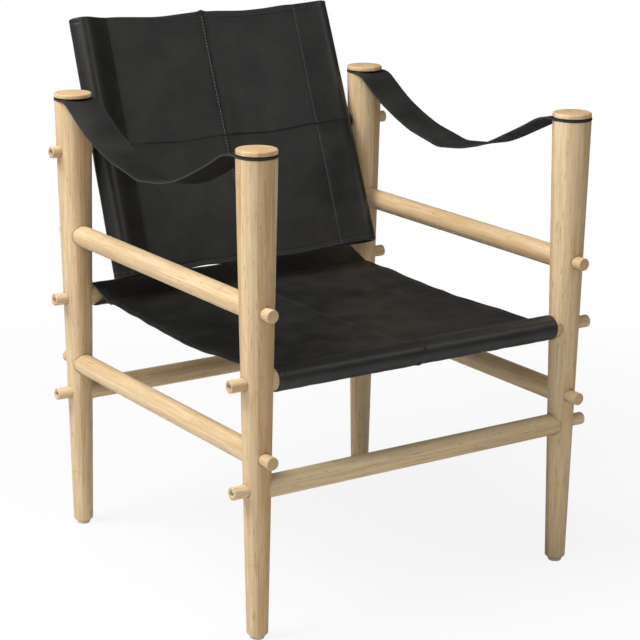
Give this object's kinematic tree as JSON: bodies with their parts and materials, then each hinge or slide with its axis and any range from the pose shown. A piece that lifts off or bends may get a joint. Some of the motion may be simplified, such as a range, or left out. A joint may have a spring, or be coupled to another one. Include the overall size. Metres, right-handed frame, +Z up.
{
  "type": "sling lounge chair",
  "caption": "Low lounge chair with a turned bamboo post-and-rail frame, a black leather sling seat, a tilting leather sling back and hanging leather arm straps.",
  "frame": {"origin": "on the floor, under the middle of the outer box of the chair", "axes": "+Z up, the chair faces -Y, +X to the right as seen from the front"},
  "size_m": [0.622, 0.655, 0.7944],
  "materials": {
    "bamboo": "pale laminated bamboo, satin oil",
    "black_leather": "black full-grain leather, semi-matt",
    "bolt_steel": "zinc-plated steel",
    "insert_brass": "plain brass",
    "glide_plastic": "pale grey, matt",
    "spacer_plastic": "black, matt"
  },
  "bodies": {
    "frame": {"front_left_post": "bamboo", "front_left_cap": "bamboo", "front_left_glide": "glide_plastic", "front_right_post": "bamboo", "front_right_cap": "bamboo", "front_right_glide": "glide_plastic", "rear_left_post": "bamboo", "rear_left_cap": "bamboo", "rear_left_glide": "glide_plastic", "rear_right_post": "bamboo", "rear_right_cap": "bamboo", "rear_right_glide": "glide_plastic", "left_arm_rail": "bamboo", "left_lower_rail": "bamboo", "right_arm_rail": "bamboo", "right_lower_rail": "bamboo", "seat_front_rail": "bamboo", "seat_rear_rail": "bamboo", "front_stretcher": "bamboo", "rear_stretcher": "bamboo", "seat_front_rail_left_peg": "bamboo", "seat_front_rail_left_bolt": "bolt_steel", "seat_front_rail_left_insert": "insert_brass", "seat_front_rail_right_peg": "bamboo", "seat_front_rail_right_bolt": "bolt_steel", "seat_front_rail_right_insert": "insert_brass", "seat_rear_rail_left_peg": "bamboo", "seat_rear_rail_left_bolt": "bolt_steel", "seat_rear_rail_left_insert": "insert_brass", "seat_rear_rail_right_peg": "bamboo", "seat_rear_rail_right_bolt": "bolt_steel", "seat_rear_rail_right_insert": "insert_brass", "front_stretcher_left_peg": "bamboo", "front_stretcher_left_bolt": "bolt_steel", "front_stretcher_left_insert": "insert_brass", "front_stretcher_right_peg": "bamboo", "front_stretcher_right_bolt": "bolt_steel", "front_stretcher_right_insert": "insert_brass", "rear_stretcher_left_peg": "bamboo", "rear_stretcher_left_bolt": "bolt_steel", "rear_stretcher_left_insert": "insert_brass", "rear_stretcher_right_peg": "bamboo", "rear_stretcher_right_bolt": "bolt_steel", "rear_stretcher_right_insert": "insert_brass", "back_left_peg": "bamboo", "back_right_peg": "bamboo", "left_arm_strap": "black_leather", "right_arm_strap": "black_leather", "seat_leather": "black_leather"},
    "back": {"back_leather": "black_leather", "back_left_pole": "bamboo", "back_left_bolt": "bolt_steel", "back_left_insert": "insert_brass", "back_left_spacer": "spacer_plastic", "back_right_pole": "bamboo", "back_right_bolt": "bolt_steel", "back_right_insert": "insert_brass", "back_right_spacer": "spacer_plastic"}
  },
  "joints": [
    {"name": "back_tilt", "type": "hinge", "parent": "frame", "child": "back", "pos_m": [0, 0.23896, 0.602], "axis": [-1, 0, 0], "range_deg": [-20, 40]}
  ]
}
